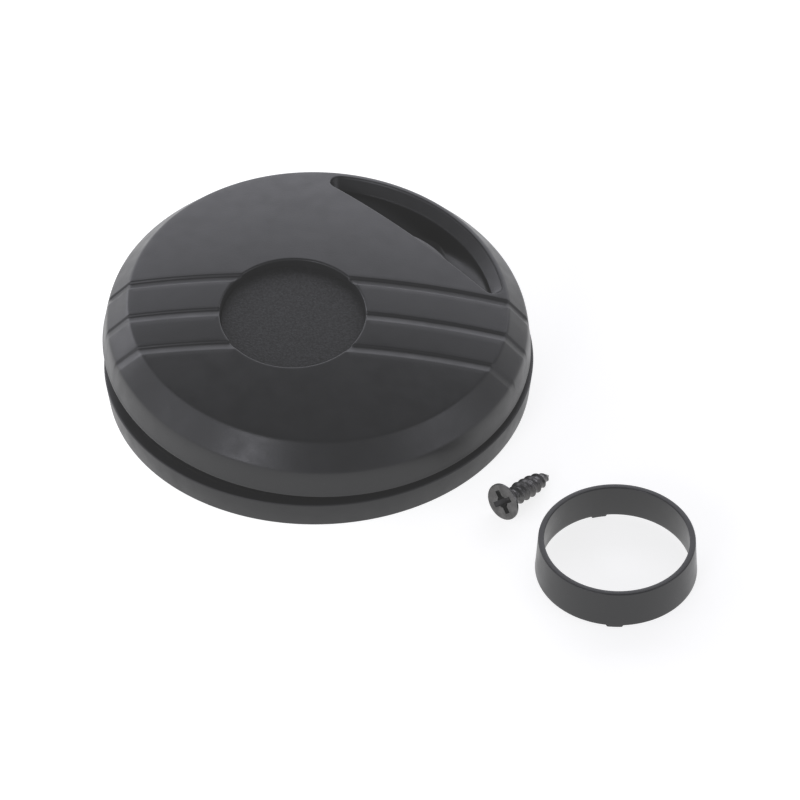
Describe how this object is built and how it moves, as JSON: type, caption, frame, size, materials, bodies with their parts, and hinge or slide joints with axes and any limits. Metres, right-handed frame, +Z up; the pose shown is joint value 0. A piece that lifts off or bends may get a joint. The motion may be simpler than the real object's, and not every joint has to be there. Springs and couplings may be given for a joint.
{
  "type": "desk cable outlet",
  "caption": "Low round cable outlet: skirted base, domed grooved cover with a finger pocket that swivels and rocks on a central ball bush, with its loose collar ring and countersunk screw.",
  "frame": {"origin": "centre of the base's flat underside, on the hub", "axes": "+Z up along the base's axis, -Y towards the front, +X to the right seen from the front"},
  "size_m": [0.1092, 0.1075, 0.0239],
  "materials": {
    "cover": "fine satin",
    "base": "fine satin",
    "inner": "matt",
    "disc": "grained",
    "foam": "matt foam",
    "bearing": "natural acetal",
    "collar": "satin",
    "steel": "dark zinc"
  },
  "bodies": {
    "base": {"base_disc": "base", "underside_gasket": "foam", "centre_stud": "steel", "retaining_clip": "steel"},
    "swivel": {"ball_bush": "bearing", "thrust_washer": "bearing"},
    "cover": {"cover_shell": "cover", "socket_plate": "inner", "plate_screw_1": "steel", "plate_screw_2": "steel", "plate_screw_3": "steel", "disc_pad": "foam", "centre_disc": "disc"},
    "collar": {"collar_ring": "collar"},
    "screw": {"mounting_screw": "steel"}
  },
  "joints": [
    {"name": "cover_swivel", "type": "hinge", "parent": "base", "child": "swivel", "pos_m": [0, 0, 0.01377], "axis": [0, 0, 1], "continuous": true},
    {"name": "cover_rock", "type": "hinge", "parent": "swivel", "child": "cover", "pos_m": [0, 0, 0.01377], "axis": [-0.7512, -0.6601, 0], "range_deg": [0, 4.28]},
    {"name": "collar_lift", "type": "slide", "parent": "base", "child": "collar", "axis": [0, 0, 1], "range_m": [0, 0.03]},
    {"name": "screw_lift", "type": "slide", "parent": "base", "child": "screw", "axis": [0, 0, 1], "range_m": [0, 0.03]}
  ]
}
